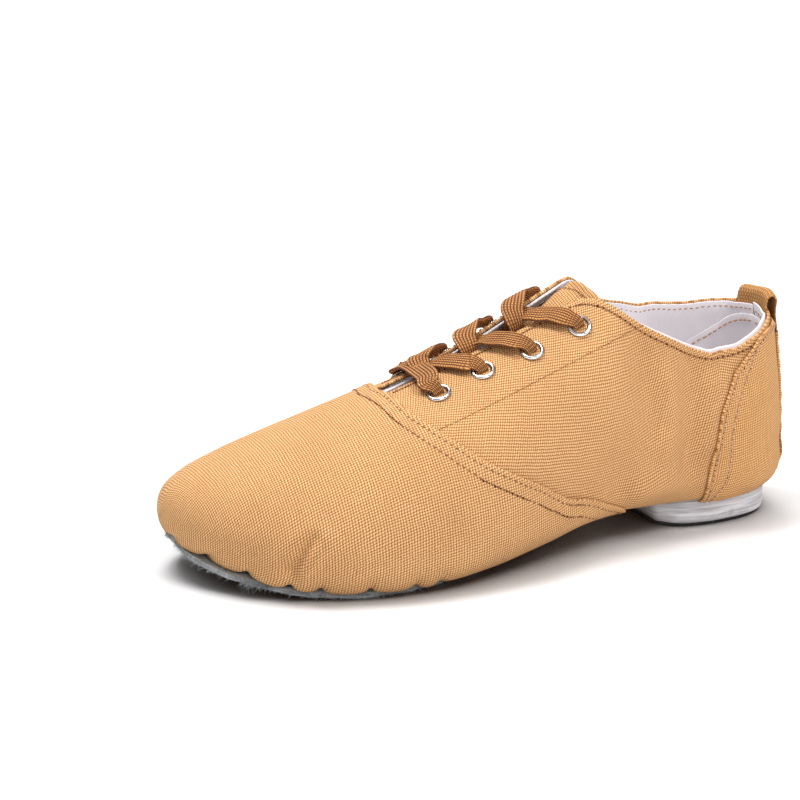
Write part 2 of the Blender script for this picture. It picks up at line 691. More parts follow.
def lace_material():
    """cloth x runs along in mm, y counts the ribs: each rib is a plait of slanted floats"""
    net = Shader("lace_braid")
    cloth = net.cloth()
    x, y, _ = net.xyz(cloth)
    from_middle = net.math("ABSOLUTE", net.math("SUBTRACT", net.math("FRACT", y), 0.5))
    plait_pitch = 1.05
    phase = net.add(net.times(x, 2*math.pi/plait_pitch), net.times(from_middle, 6.4))
    height = net.ramp(net.math("SINE", phase), span=(-0.9, 0.6), to=(0.30, 1.0))
    rib = net.ramp(from_middle, span=(0.20, 0.42), to=(1.0, 0.0))
    fibre = net.noise(net.scaled(cloth, (2.5, 16, 1)), rough=0.6)
    cloud = net.noise(net.scaled(cloth, (0.12, 0.4, 1)), detail=2.0)
    colour = net.blend(net.times(height, rib), srgb(84, 43, 16), srgb(222, 152, 84))
    colour = net.blend(net.ramp(fibre, span=(0.45, 0.8), to=(0, 0.35)), colour,
                       srgb(232, 168, 102))
    colour = net.blend(net.ramp(cloud, span=(0.4, 0.7), to=(0, 0.22)), colour,
                       srgb(120, 72, 38))
    net.set(Base_Color=colour, Roughness=0.74, Sheen_Weight=0.05, Specular_IOR_Level=0.3)
    relief = net.add(net.times(height, rib), net.times(fibre, 0.25))
    net.set(Normal=net.bump(relief, distance=0.00034))
    return net.material


LACE = lace_material()


def suede_material():
    net = Shader("suede_grey")
    place = net.place()
    nap = net.noise(place, scale=900.0, detail=4.0, rough=0.7)
    patches = net.noise(place, scale=170.0, detail=4.0, rough=0.6)
    cloud = net.noise(place, scale=40.0)
    colour = net.blend(net.ramp(nap, span=(0.3, 0.7)), srgb(124, 130, 136),
                       srgb(190, 196, 200))
    colour = net.blend(net.ramp(patches, span=(0.35, 0.7), to=(0, 0.55)), colour,
                       srgb(206, 210, 212))
    colour = net.blend(net.ramp(cloud, span=(0.45, 0.75), to=(0, 0.4)), colour,
                       srgb(104, 108, 112))
    net.set(Base_Color=colour, Roughness=0.95, Sheen_Weight=0.5, Specular_IOR_Level=0.15,
            Normal=net.bump(net.add(nap, patches), distance=0.0004))
    return net.material


SUEDE = suede_material()


def heel_material():
    net = Shader("heel_paint")
    place = net.place()
    _, _, z = net.xyz(place)
    fine = net.noise(net.scaled(place, (35, 35, 1100)), detail=4.0, rough=0.65)
    streak = net.noise(net.scaled(place, (70, 70, 420)))
    blotch = net.noise(place, scale=130.0, detail=4.0, rough=0.6)
    colour = net.blend(net.ramp(fine, span=(0.30, 0.62)), srgb(168, 166, 170),
                       srgb(226, 224, 228))
    colour = net.blend(net.ramp(streak, span=(0.5, 0.72), to=(0, 0.5)), colour,
                       srgb(244, 243, 246))
    colour = net.blend(net.ramp(blotch, span=(0.58, 0.72), to=(0, 0.5)), colour,
                       srgb(150, 147, 150))
    # worn edges, then a darker foot
    geometry = net.node("ShaderNodeNewGeometry")
    worn = net.ramp(geometry.outputs["Pointiness"], span=(0.50, 0.56), to=(0, 0.5))
    worn = net.times(worn, net.ramp(blotch, span=(0.35, 0.6)))
    colour = net.blend(worn, colour, srgb(120, 112, 108))
    foot = net.ramp(z, span=(0.0042, 0.0020), to=(0, 0.55))
    foot = net.times(foot, net.ramp(streak, span=(0.35, 0.6)))
    colour = net.blend(foot, colour, srgb(120, 116, 118))
    net.set(Base_Color=colour, Roughness=net.ramp(fine, span=(0.2, 0.8), to=(0.62, 0.42)))
    relief = net.add(fine, net.times(blotch, 0.6))
    net.set(Normal=net.bump(relief, distance=0.00022))
    return net.material


HEEL_PAINT = heel_material()


def rubber_material():
    net = Shader("lift_rubber")
    place = net.place()
    grain = net.noise(place, scale=500.0, detail=4.0, rough=0.6)
    cloud = net.noise(place, scale=90.0)
    colour = net.blend(net.ramp(cloud, span=(0.4, 0.7)), srgb(26, 25, 26), srgb(58, 56, 56))
    colour = net.blend(net.ramp(grain, span=(0.55, 0.75), to=(0, 0.5)), colour,
                       srgb(96, 94, 92))
    net.set(Base_Color=colour, Roughness=net.ramp(grain, span=(0.3, 0.7), to=(0.85, 0.6)),
            Normal=net.bump(grain, distance=0.00015))
    return net.material


LIFT_RUBBER = rubber_material()


def metal(name, colour, rough, dark_rim=False):
    net = Shader(name)
    grain = net.noise(net.place(), scale=1500.0)
    cloud = net.noise(net.place(), scale=260.0)
    red, green, blue = colour
    shade = net.blend(net.ramp(cloud, span=(0.4, 0.7), to=(0, 0.3)), (red, green, blue, 1),
                      (red*.6, green*.6, blue*.62, 1))
    net.set(Metallic=1.0,
            Roughness=net.ramp(grain, span=(0.3, 0.7), to=(rough, rough+0.14)),
            Normal=net.bump(grain, distance=0.00001))
    if dark_rim:
        # surfaces turned away from the view go dark
        facing = net.node("ShaderNodeLayerWeight")
        facing.inputs["Blend"].default_value = 0.42
        rim = net.ramp(facing.outputs["Facing"], span=(0.22, 0.62))
        shade = net.blend(rim, shade, (0.05, 0.05, 0.055, 1))
    net.set(Base_Color=shade)
    return net.material


NICKEL = metal("eyelet_nickel", (0.80, 0.80, 0.82), rough=0.12, dark_rim=True)
NAIL_STEEL = metal("nail_steel", (0.6, 0.6, 0.62), rough=0.32)


def plain(name, first, second, rough, scale, depth=0.0002):
    net = Shader(name)
    grain = net.noise(net.place(), scale=scale, detail=4.0, rough=0.6)
    cloud = net.noise(net.place(), scale=scale/7)
    tone = net.ramp(net.times(net.add(grain, cloud), 0.5), span=(0.35, 0.65))
    net.set(Base_Color=net.blend(tone, first, second), Roughness=rough,
            Normal=net.bump(grain, distance=depth))
    return net.material


BOARD = plain("board_fibre", srgb(168, 138, 104), srgb(196, 168, 132), rough=0.9, scale=700)
FILLER = plain("filler_moulded", srgb(150, 144, 136), srgb(176, 170, 160), rough=0.7,
               scale=500)
FOAM = plain("midsole_foam", srgb(48, 46, 46), srgb(74, 72, 70), rough=0.95, scale=800)
BUCKRAM = plain("stiffener_buckram", srgb(212, 204, 190), srgb(228, 222, 212), rough=0.92,
                scale=900)
AGLET_FILM = plain("aglet_film", srgb(96, 58, 30), srgb(122, 78, 44), rough=0.3, scale=400,
                   depth=0.00005)

# CAD pieces that stay as they are
for node_name, kept_material in (("heel_nails", NAIL_STEEL), ("heel_filler", FILLER),
                                 ("heel_seat_board", BOARD), ("lace_aglets", AGLET_FILM)):
    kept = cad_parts[node_name]
    kept.data.materials.clear()
    kept.data.materials.append(kept_material)


# ---------------------------------------------------------------- paths and stitches
def arc_lengths(points):
    steps = np.linalg.norm(np.diff(points, axis=0), axis=1)
    return np.concatenate([[0], np.cumsum(steps)])


def resample(points, count=None, step=None):
    """evenly spaced rows; the first three columns are the place"""
    points = np.asarray(points, float)
    lengths = arc_lengths(points[:, :3])
    if count is None:
        count = max(2, int(round(lengths[-1]/step))+1)
    spots = np.linspace(0, lengths[-1], count)
    return np.stack([np.interp(spots, lengths, column) for column in points.T], -1)


def even_path(station, girth, step):
    samples = resample(np.column_stack([point(station, girth), station, girth]), step=step)
    return samples[:, 3], samples[:, 4]


def smoothed(values, passes, directions=False):
    values = np.array(values, float)
    for _ in range(passes):
        inner = (values[:-2]+2*values[1:-1]+values[2:])/4
        values[1:-1] = unit(inner) if directions else inner
    return values


def shift_path(station, girth, distance, steps=5):
    """moves a path on the form sideways in mm, to the left of its direction from outside"""
    station, girth = np.array(station, float), np.array(girth, float)
    for _ in range(steps):
        direction = unit(np.gradient(point(station, girth), axis=0))
        move = unit(np.cross(normal(station, girth), direction))*(distance/steps)
        by_station = (point(station+.01, girth)-point(station-.01, girth))/.02
        by_girth = (point(station, girth+.01)-point(station, girth-.01))/.02
        # least squares for the change of station and girth
        ss, sg, gg = [(one*two).sum(-1) for one, two in (
            (by_station, by_station), (by_station, by_girth), (by_girth, by_girth))]
        along, across = (by_station*move).sum(-1), (by_girth*move).sum(-1)
        determinant = ss*gg-sg*sg+1e-9
        station = station+(gg*along-sg*across)/determinant
        girth = girth+(ss*across-sg*along)/determinant
    return station, girth


# lengthwise profile of a stitch, in thread radii
STITCH_SPOTS = np.array([-1, -.72, -.35, 0, .35, .72, 1])
STITCH_RISE = np.array([-1.15, -.25, .45, .62, .45, -.25, -1.15])
STITCH_RADIUS = np.array([.45, .85, 1, 1.05, 1, .85, .45])
STITCH_SIDES, HOLE_SIDES = 7, 8


def sew(name, points, normals, pitch, material, length=0.66, radius=0.30, lift=0.08,
        hole=0.42, hole_lift=0.05, seed=1, even=False):
    """a row of thread stitches with needle holes. length: share of the pitch;
    hole: radius of the needle holes, 0 for none; even: respace the points first"""
    rng = np.random.default_rng(seed)
    path = np.concatenate([points, normals], 1)
    if even:
        path = resample(path, step=0.8)
        path[:, 3:] = unit(path[:, 3:])
    lengths = arc_lengths(path[:, :3])
    count = max(1, int(lengths[-1]/pitch))
    verts, faces, cloth = [], [], []

    def at(spots):
        row = np.stack([np.interp(spots, lengths, column) for column in path.T], -1)
        return row[:, :3], unit(row[:, 3:])

    angles = 2*math.pi*np.arange(STITCH_SIDES)/STITCH_SIDES
    rise = STITCH_RISE[:, None]*radius
    thick = STITCH_RADIUS[:, None]*radius
    for i in range(count):
        centre = (i+0.5)*pitch+rng.normal()*0.025
        half = pitch*length/2*(1+rng.normal()*0.04)
        spots = centre+STITCH_SPOTS*half
        place, up = at(spots)
        beside = np.cross(up, unit(np.gradient(place, axis=0)))
        height = lift+rise+thick*0.8*np.sin(angles)
        sideways = rng.normal()*0.07+thick*1.12*np.cos(angles)
        faces += tube_faces(len(spots), STITCH_SIDES, base=len(verts))
        verts.extend((place[:, None]+up[:, None]*height[..., None]
                      + beside[:, None]*sideways[..., None]).reshape(-1, 3))
        cloth += [(spot, j/STITCH_SIDES*2, 0) for spot in spots for j in range(STITCH_SIDES)]
    thread_faces = len(faces)
    angles = 2*math.pi*np.arange(HOLE_SIDES)[:, None]/HOLE_SIDES
    for i in range(count+1 if hole > 0 else 0):
        spot = i*pitch+rng.normal()*0.04
        place, up = at(np.array([spot-.05, spot, spot+.05]))
        direction = unit(place[2]-place[0])
        beside = np.cross(up[1], direction)
        size = hole*(1+rng.normal()*0.12)
        faces += tube_faces(3, HOLE_SIDES, base=len(verts))
        for share, height in ((1.0, -0.30), (0.85, hole_lift), (0.4, hole_lift+0.02)):
            ring = direction*np.cos(angles)*0.85+beside*np.sin(angles)*1.1
            verts.extend(place[1]+up[1]*height+ring*size*share)
            cloth += [(0, 0, 0)]*HOLE_SIDES
    kinds = [0]*thread_faces+[1]*(len(faces)-thread_faces)
    return make_mesh(name, np.array(verts), faces, np.array(cloth), material, HOLE,
                     face_materials=kinds)


def sew_on(name, station, girth, depth, drape, pitch, material, **options):
    station, girth = even_path(station, girth, 0.8)
    place, up = offset(station, girth, depth-drape(station, girth))
    return sew(name, place, up, pitch, material, **options)


# ---------------------------------------------------------------- joints and slots
def tilted_blend(obj):
    """blends between two bodies along a tilted direction (metres)"""
    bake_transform(obj)


def arch(obj):
    tilted_blend(obj)


def ball(obj):
    tilted_blend(obj)


def loop_joint(obj):
    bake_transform(obj)


def attach(obj, slot, motion, *nodes):
    """motion is a body to ride on, or one of the joints above"""
    if callable(motion):
        motion(obj)
    else:
        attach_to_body(obj, motion)
    if nodes:
        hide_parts(*nodes)


# depths of the outer and inner face of each layer
CANVAS = (0.0, 1.0)
OVERLAY = (-1.38, -0.38)
BACKSTAY = (-2.42, -1.60)
VAMP_LINING = (0.45, 1.05)
STIFFENING = (1.43, 1.78)
LINING = (2.0, 2.6)
HEEL_PATCH = (2.85, 3.35)

# ---------------------------------------------------------------- quarters
quarter_stations = np.linspace(-0.985, 6, 900)
QUARTER_EDGE = {side: point(quarter_stations, topline_girth(quarter_stations, side))
                for side in SIDE_NAMES}
THREAD_TURN = 17.0  # degrees between the threads and the length of the shoe
# stay stitches: last station, (station, level)
STAY_ROW = {
    OUTER: ((1.30, .548), (1.7, .565), (2.2, .578), (3.0, .585), (4.0, .585), (4.65, .58),
            (4.9, .575)),
    INNER: ((1.3, .50), (2.2, .515), (3.3, .515), (4.4, .51), (4.9, .51))}


def quarter_grid(side, front, cols, rows, trim=None):
    """stations and girths from the heel back to under the vamp"""
    part = np.linspace(0, 1, rows)[:, None]
    up = np.linspace(0, 1, cols)[None, :]+0*part
    # the heel and the first stations take the first 0.31 of the rows
    heel = np.interp(part, [0, 0.20, 0.31], [-0.985, 0.0, 0.75])
    front_edge = VAMP_SEAM(-1+1.94*up)+front
    station = np.where(part < 0.31, heel, 0.75+(front_edge-0.75)*(part-0.31)/0.69)
    top = TOPLINE[side](station)
    if trim:
        top = top-trim(station, side)
    girth = to_girth(-1+(top+1)*up, side)
    return station[:, ::side], girth[:, ::side]


def quarter_shift(station, girth, side):
    station, girth = floats(station, girth)
    away = distance_to(point(station, girth), QUARTER_EDGE[side])
    hem = 0.30*fade(away, 1.8, 3.4)-0.24*bell(away-2.2, 0.8)
    return quarter_drape(station, girth)+hem*fade(station, 4.3, 5.0)


def wrinkles(places):
    """loose creases of the lining cotton, always inward"""
    z = places[..., 2]
    long = np.maximum(noise(places*np.array([1, 1, 0.55]), 8.5, 8.3), 0)
    short = np.maximum(noise(places, 4.5, 3.3), 0)
    return 0.75*long*ease(z, 22, 34)+0.35*short*ease(z, 30, 44)


def lining_shift(station, girth, side):
    places = point(station, girth)
    away = distance_to(places, QUARTER_EDGE[side])
    # at the free edge the lining lies against the canvas
    closed = 0.75*fade(away, 0.8, 5.0)*fade(station, 4.2, 4.8)
    # the tape loop is caught between canvas and lining at the centre back
    at_loop = fade(np.abs(places[..., 0]), 11.2, 14.0)*fade(station, -0.55, -0.40)
    return (quarter_drape(station, girth)+mix(closed, -0.28*fade(away, 5, 9), at_loop)
            - wrinkles(places)*ease(away, 1.5, 6))


def lining_trim(station, side):
    """level by which the lining ends below the canvas edge"""
    if side > 0:
        return -0.007-0.003*ease(station, -0.85, -0.6)
    return 0.003*fade(station, 1.5, 1.9)-0.017*ease(station, 1.75, 2.2)


def quarter_cloth(side, tag):
    station, girth = quarter_grid(side, 0.42, segments(76 if side > 0 else 56),
                                  segments(230 if side > 0 else 170))
    obj = sheet(tag+"_quarter_cloth", station, girth, CANVAS, QUARTER_CANVAS,
                quarter_shift(station, girth, side), quarter_drape(station, girth),
                start=1.0, turn=THREAD_TURN*side)
    attach(obj, "quarter_canvas", arch, tag+"_quarter")


def quarter_rows(side, tag):
    def drape(station, girth):
        return quarter_shift(station, girth, side)

    # 2.1 mm below the top edge, as far as the vamp
    station = np.linspace(-0.93, 5.0, 700)
    girth = topline_girth(station, side)
    path = shift_path(smoothed(station, 120), smoothed(girth, 120), 2.1*side)
    station, girth = [smoothed(values, 120) for values in path]
    keep = station < VAMP_SEAM(np.clip(split_girth(girth)[0], -1, 1))-0.02
    obj = sew_on(tag+"_topline_stitches", station[keep], girth[keep], CANVAS[0], drape, 2.35,
                 TAN_THREAD, radius=0.29, lift=0.26, hole_lift=0.20,
                 seed=3 if side > 0 else 4)
    attach(obj, "quarter_canvas", arch)
    # along the lower edge of the stay tape
    station = np.linspace(1.30, 4.9, 260)
    level = np.interp(station, *np.array(STAY_ROW[side]).T)
    keep = station < VAMP_SEAM(level)-0.02
    obj = sew_on(tag+"_stay_stitches", station[keep], to_girth(level, side)[keep], CANVAS[0],
                 drape, 2.0, TAN_THREAD, length=0.6, radius=0.20, lift=0.02, hole=0.27,
                 seed=8)
    attach(obj, "quarter_canvas", arch)


def stay_tape(side, tag):
    along, up = np.meshgrid(np.linspace(0, 1, segments(60)),
                            np.linspace(0, 1, segments(18)), indexing="ij")
    station = mix(2.02, 4.86, along)
    level = mix(0.58 if side > 0 else 0.50, TOPLINE[side](station)-0.01, up)
    station, girth = station[:, ::side], to_girth(level, side)[:, ::side]
    obj = sheet(tag+"_stay_tape", station, girth, STIFFENING, STAY_COTTON,
                quarter_drape(station, girth), start=3.0)
    attach(obj, "stay_tape", "midfoot", tag+"_eyelet_stay")


def quarter_lining(side, tag):
    station, girth = quarter_grid(side, 0.02, segments(50), segments(150), lining_trim)
    shift = lining_shift(station, girth, side)
    # thicker along part of the edge, on the facing of the inner side most of all
    if side > 0:
        extra = 0.25*ease(station, -0.85, -0.6)*fade(station, 1.0, 1.5)
    else:
        extra = 0.45*ease(station, 1.75, 2.2)
    extra = extra*fade(distance_to(point(station, girth), QUARTER_EDGE[side]), 1.2, 3.0)
    obj = sheet(tag+"_quarter_lining_cloth", station, girth, LINING, LINING_COTTON, shift,
                shift-extra, start=1.0, turn=THREAD_TURN*side)
    attach(obj, "quarter_lining", arch, tag+"_quarter_lining")


# ---------------------------------------------------------------- vamp
vamp_girths = np.linspace(0, 4, 800)
vamp_stations = VAMP_SEAM(split_girth(vamp_girths)[0])
VAMP_EDGE = point(vamp_stations, vamp_girths)
VAMP_ROWS = (1.6, 6.0)  # stitch rows, from the edge


def vamp_base_shift(station, girth):
    away = distance_to(point(station, girth), VAMP_EDGE)
    return vamp_drape(station, girth)+quarter_drape(station, girth)*fade(away, 10, 26)


def vamp_shift(station, girth):
    station, girth = floats(station, girth)
    away = distance_to(point(station, girth), VAMP_EDGE)
    hem = 0.28*fade(away, 6.2, 7.6)
    for row in VAMP_ROWS:
        hem = hem-0.26*bell(away-row, 0.5)
    under = ease(-split_girth(girth)[0], .6, .9)*fade(station, 3.5, 5)
    return vamp_base_shift(station, girth)+hem*(1-under)


def vamp():
    part = 1-(1-np.linspace(0, 1, segments(150))*0.985)**1.30
    part = (part/part[-1]*0.9955)[:, None]
    girth = np.linspace(0.0, 4.0, segments(190))
    seam = VAMP_SEAM(split_girth(girth)[0])
    girth = girth+0*part
    station = seam+(TOE-seam)*part
    obj = sheet("vamp_cloth", station, girth, OVERLAY, VAMP_CANVAS,
                vamp_shift(station, girth), vamp_base_shift(station, girth), start=5.6,
                tip=True)
    attach(obj, "vamp_canvas", ball, "vamp_canvas")
    keep = (vamp_girths > 0.16) & (vamp_girths < 3.84)
    for k, distance in enumerate(VAMP_ROWS):
        path = shift_path(vamp_stations[keep], vamp_girths[keep], distance)
        obj = sew_on(f"vamp_stitches_{k+1}", *path, OVERLAY[0], vamp_shift, 2.45,
                     BROWN_THREAD, radius=0.27, hole=0.60, seed=5+k)
        attach(obj, "vamp_canvas", ball)
    # the lining starts further forward, on every second row and column
    seam = seam+0.72
    station = (seam+(TOE-seam)*part)[::2, ::2]
    girth = girth[::2, ::2]
    shift = vamp_drape(station, girth)-0.7*ease(station, 5.8, 6.6)
    obj = sheet("vamp_lining_cloth", station, girth, VAMP_LINING, LINING_COTTON, shift,
                start=5.6, tip=True)
    attach(obj, "vamp_lining", ball, "vamp_lining")


# ---------------------------------------------------------------- heel counter
def back_station(x, level):
    """station round the back of the heel at which the form reaches x"""
    x, level = floats(x, level)
    _, x_outer, x_inner, _, _, _, _, share, _, exp_across, _ = FORM[0]
    upper = np.clip(np.cos(level*np.pi/2), 1e-3, 1)**(2/exp_across)
    lower = share+(1-share)*cos_power(np.minimum(level, 0)*np.pi/2, BASE_EXP)
    width = np.where(x >= 0, x_outer, -x_inner)*np.where(level >= 0, upper, lower)
    part = np.clip((np.abs(x)/width)**(BACK_EXP/2), 0, 1)
    return -np.degrees(np.arccos(part))/90


def back_grid(rows, cols):
    """from the inner (-1) to the outer side (1), and upwards (0..1)"""
    across, up = np.meshgrid(np.linspace(-1, 1, segments(rows)),
                             np.linspace(0, 1, segments(cols)), indexing="ij")
    return across, up, np.where(across < 0, -1., 1.)


def heel_bulge(places, station):
    """the cloth stands fuller round the lower back of the heel"""
    z = places[..., 2]
    return HEEL_FULLNESS*ease(z, 12.8, 16.5)*fade(z, 20, 30)*fade(station, -0.50, -0.10)


def counter_front(up):
    """station and level along the front edge of the counter"""
    station = COUNTER_FRONT(-1+(1+COUNTER_CORNER)*up)
    return station, mix(-1, COUNTER_TOP(station), up)


HEEL_FULLNESS = 1.3
front_station, front_level = counter_front(np.linspace(0, 1, 500))
COUNTER_EDGE = np.vstack([side_point(front_station, front_level, side)
                          for side in SIDE_NAMES])
# second stitch row: (level, station)
row_levels = np.linspace(-1.0, 0.345, 300)
row_stations = monotone(
    (-1, .075), (-.66, .012), (-.571, -.01), (-.433, -.038), (-.251, -.056), (-.041, -.062),
    (.068, -.064), (.134, -.08), (.192, -.112), (.25, -.154), (.286, -.203), (.337, -.287),
    (.36, -.36))(row_levels)
COUNTER_ROW = np.vstack([side_point(row_stations, row_levels, side) for side in SIDE_NAMES])


def counter_shift(station, girth):
    places = point(station, girth)
    level, _ = split_girth(girth)
    z = places[..., 2]
    away = distance_to(places, COUNTER_EDGE)
    # thick lip; both stitch rows pull a groove
    lip = (0.16*fade(away, 0.6, 2.0)+0.42*bell(away-3.6, 2.0)-0.16*bell(away-1.1, 0.5)
           - 0.38*bell(distance_to(places, COUNTER_ROW), 0.8))
    pucker = 0.10*np.sin(z*1.9+noise(places, 8, 2.0)*3)*bell(away-4.5, 3.2)
    soft = 0.30*noise(places, 24, 9.1)+folds(places, COUNTER_FOLDS)
    bulge = heel_bulge(places, station)
    foot = 0.35*bell(z-15, 3.0)*(0.6+0.5*noise(places, 9, 5.0))*(1-bulge/HEEL_FULLNESS)
    return (quarter_drape(station, girth)+(lip+pucker)*ease(z, 12.5, 17)
            + soft*(ease(away, 3, 9)*0.9+0.1)*ease(np.abs(level-0.39), 0.0, 0.12)
            + (foot+bulge)*ease(away, 0, 6))


def counter_cloth():
    across, up, side = back_grid(190, 70)
    station = -1+np.abs(across)*(1+counter_front(up)[0])
    girth = to_girth(mix(-1, COUNTER_TOP(station), up), side)
    obj = wrap_sheet("heel_counter_cloth", station, girth, OVERLAY, COUNTER_CANVAS,
                     counter_shift(station, girth), quarter_drape(station, girth))
    attach(obj, "counter_canvas", "heel", "heel_counter_panel")


def counter_stitches():
    front_station, front_level = counter_front(np.linspace(0.02, 1, 300))
    shares = np.linspace(1, 0.06, 260)[1:]
    top_station = -1+shares*(1+COUNTER_FRONT(COUNTER_CORNER))
    station = np.concatenate([front_station, top_station])
    level = np.concatenate([front_level, COUNTER_TOP(top_station)])
    for side, tag in SIDE_NAMES.items():
        edge = even_path(station, to_girth(level, side), 0.5)
        edge_row = shift_path(*[smoothed(values, 60) for values in edge], -1.15*side, 4)
        inner_row = row_stations, to_girth(row_levels, side)
        for k, (path, first) in enumerate(((edge_row, -0.93), (inner_row, -0.40))):
            keep = (split_girth(path[1])[0] > -0.93) & (path[0] > first) & (path[0] < 0.3)
            path = path[0][keep], path[1][keep]
            place, up = offset(*path, OVERLAY[0]-counter_shift(*path))
            obj = sew(f"counter_stitches_{tag}_{k+1}", place, up, 2.2, PALE_THREAD,
                      lift=0.16, hole=0.34, hole_lift=0.10, seed=20+k)
            attach(obj, "counter_canvas", "heel")


def heel_stiffener():
    across, up, side = back_grid(70, 26)
    station = -1+np.abs(across)*0.96
    girth = to_girth(mix(-0.88, 0.26, up), side)
    obj = wrap_sheet("heel_stiffener_board", station, girth, STIFFENING, BUCKRAM,
                     quarter_drape(station, girth))
    attach(obj, "stiffener", "heel", "heel_stiffener")


# top edge of the lining patch: (station, level)
PATCH_TOP = monotone((-1, .392), (-.86, .389), (-.71, .378), (-.47, .331), (-.25, .281),
                     (0, .20))


def patch_shift(station, girth):
    places = point(station, girth)
    return (quarter_drape(station, girth)-0.12*noise(places, 9, 2.2)-0.12
            - wrinkles(places))


def heel_patch():
    across, up, side = back_grid(110, 40)
    station = -1+np.abs(across)*0.98
    girth = to_girth(mix(-0.35, PATCH_TOP(station), up), side)
    obj = wrap_sheet("heel_lining_patch_cloth", station, girth, HEEL_PATCH, LINING_COTTON,
                     patch_shift(station, girth))
    attach(obj, "heel_patch_cotton", "heel", "heel_lining_patch")
    for side, tag in SIDE_NAMES.items():
        station = np.linspace(-0.97, -0.03, 200)
        girth = to_girth(PATCH_TOP(station)-0.018, side)
        place, up = offset(station, girth, HEEL_PATCH[1]+0.01-patch_shift(station, girth))
        obj = sew("patch_stitches_"+tag, place, -up, 2.5, INNER_THREAD, length=0.86,
                  lift=0.05, hole=0.0, seed=31)
        attach(obj, "heel_patch_cotton", "heel")


# ---------------------------------------------------------------- back strip and loop
STRIP_HALF = 10.5
STRIP_ROW = 2.2  # stitches and their groove, from the strip's edge
LOOP_HALF = 9.9
LOOP_FOOT = 28   # samples in the straight outer leg of the loop


def backstay():
    across, up, side = back_grid(34, 90)
    level = mix(-0.72, 0.345, up)
    x = across*STRIP_HALF*(1-0.02*np.sin(up*9))
    station, girth = back_station(x, level), to_girth(level, side)
    places = point(station, girth)
    away = STRIP_HALF-np.abs(x)
    base = quarter_drape(station, girth)+heel_bulge(places, station)
    shift = (base+0.32*fade(away, 1.6, 2.8)-0.22*bell(away-STRIP_ROW, 0.45)
             + 0.12*noise(places, 12, 1.1))
    ripple = np.sin(places[..., 2]*0.9+noise(places, 10, 3.)*3)
    shift = shift+0.16*ripple*fade(away, 0.8, 3.0)
    obj = wrap_sheet("backstay_cloth", station, girth, BACKSTAY, STRIP_CANVAS, shift, base)
    attach(obj, "backstay_canvas", "heel", "backstay_strip")
    for side, tag in SIDE_NAMES.items():
        level = np.linspace(-0.68, 0.33, 220)
        station = back_station(side*(STRIP_HALF-STRIP_ROW), level)
        girth = to_girth(level, side)
        shift = quarter_drape(station, girth)+heel_bulge(point(station, girth), station)
        place, up = offset(station, girth, BACKSTAY[0]-shift)
        obj = sew("backstay_stitches_"+tag, place, up, 2.5, DARK_THREAD, lift=0.02,
                  hole=0.40, seed=41, even=True)
        attach(obj, "backstay_canvas", "heel")


def centre_back(level, depth=0.0):
    """y at a depth and z of the surface at the centre back"""
    place = side_point(-1., level, 1.)
    return place[1]-depth*side_normal(-1., level, 1.)[1], place[2]


def loop_path(base):
    """centre line: up outside the strip, over, and down between canvas and lining"""
    outside, inside = centre_back(.41, -3.0)[0], centre_back(.41, 1.5)[0]
    middle, half = (outside+inside)/2, (outside-inside)/2
    top = base+5.6
    path = [centre_back(level, -3.02) for level in (.325, .345, .365, .385, .405)]
    path.append((outside+0.1, base+1.0))
    for angle in np.radians(range(0, 181, 15)):
        path.append((middle+0.1+(half+0.15)*math.cos(angle),
                     top-half*1.15+half*1.15*math.sin(angle)))
    path.append((inside-0.05, base+1.0))
    path += [centre_back(level, 1.5) for level in (.415, .395, .375, .36)]
    return np.array([(0, y, z) for y, z in path])


def pull_loop():
    base = centre_back(.425)[1]
    rough_path = loop_path(base)
    length = arc_lengths(rough_path)[-1]
    path = smoothed(resample(rough_path, count=segments(120)), 3)
    tangents = unit(np.gradient(path, axis=0))
    outward = np.stack([0*tangents[:, 0], tangents[:, 2], -tangents[:, 1]], -1)
    columns = np.linspace(-LOOP_HALF, LOOP_HALF, segments(40))
    heel_y = side_point(back_station(columns, .40), .40, np.where(columns < 0, -1, 1))[:, 1]
    heel_y = heel_y-heel_y.max()
    x, along = np.meshgrid(columns, np.linspace(0, length, len(path)), indexing="ij")
    uneven = 0.12*noise(np.stack([x, along, 0*x], -1), 5, 2.)
    raised = ease(path[:, 2], base-1, base+6)
    sag = -0.9*(x/10.4)**2*np.sin(np.pi*along/length)+0.25*np.sin(x*0.45)*raised
    centre = np.stack([x*(1-0.03*raised), path[:, 1]+heel_y[:, None]*(1-0.22*raised),
                       path[:, 2]+sag], -1)
    edge = fade(LOOP_HALF-np.abs(x), 0, 0.8)
    rib = 0.16*np.abs(np.sin(np.pi*along/1.35))
    obj = shell("pull_loop_tape", centre+outward*(0.40-0.15*edge+rib+uneven)[..., None],
                centre-outward*(0.42-0.12*edge-uneven)[..., None], TAPE,
                np.stack([x, along], -1))
    attach(obj, "pull_tape", loop_joint, "pull_loop")
    # three rows of stitches across the foot of the loop
    x = np.linspace(-9.2, 9.2, 120)
    up = unit(np.stack([x*0.02, np.ones_like(x), x*0], -1))
    for k in range(3):
        z = centre_back(.325)[1]+2.0+k*0.75
        y = np.interp(z, path[:LOOP_FOOT, 2], path[:LOOP_FOOT, 1])
        place = np.stack([x, y+np.interp(x, columns, heel_y)+0.62, np.full_like(x, z)], -1)
        obj = sew(f"loop_bartack_{k}", place, up, 1.25, DARK_THREAD, length=0.8,
                  radius=0.26, lift=-0.02, hole=0, seed=50+k)
        attach(obj, "pull_tape", "heel")


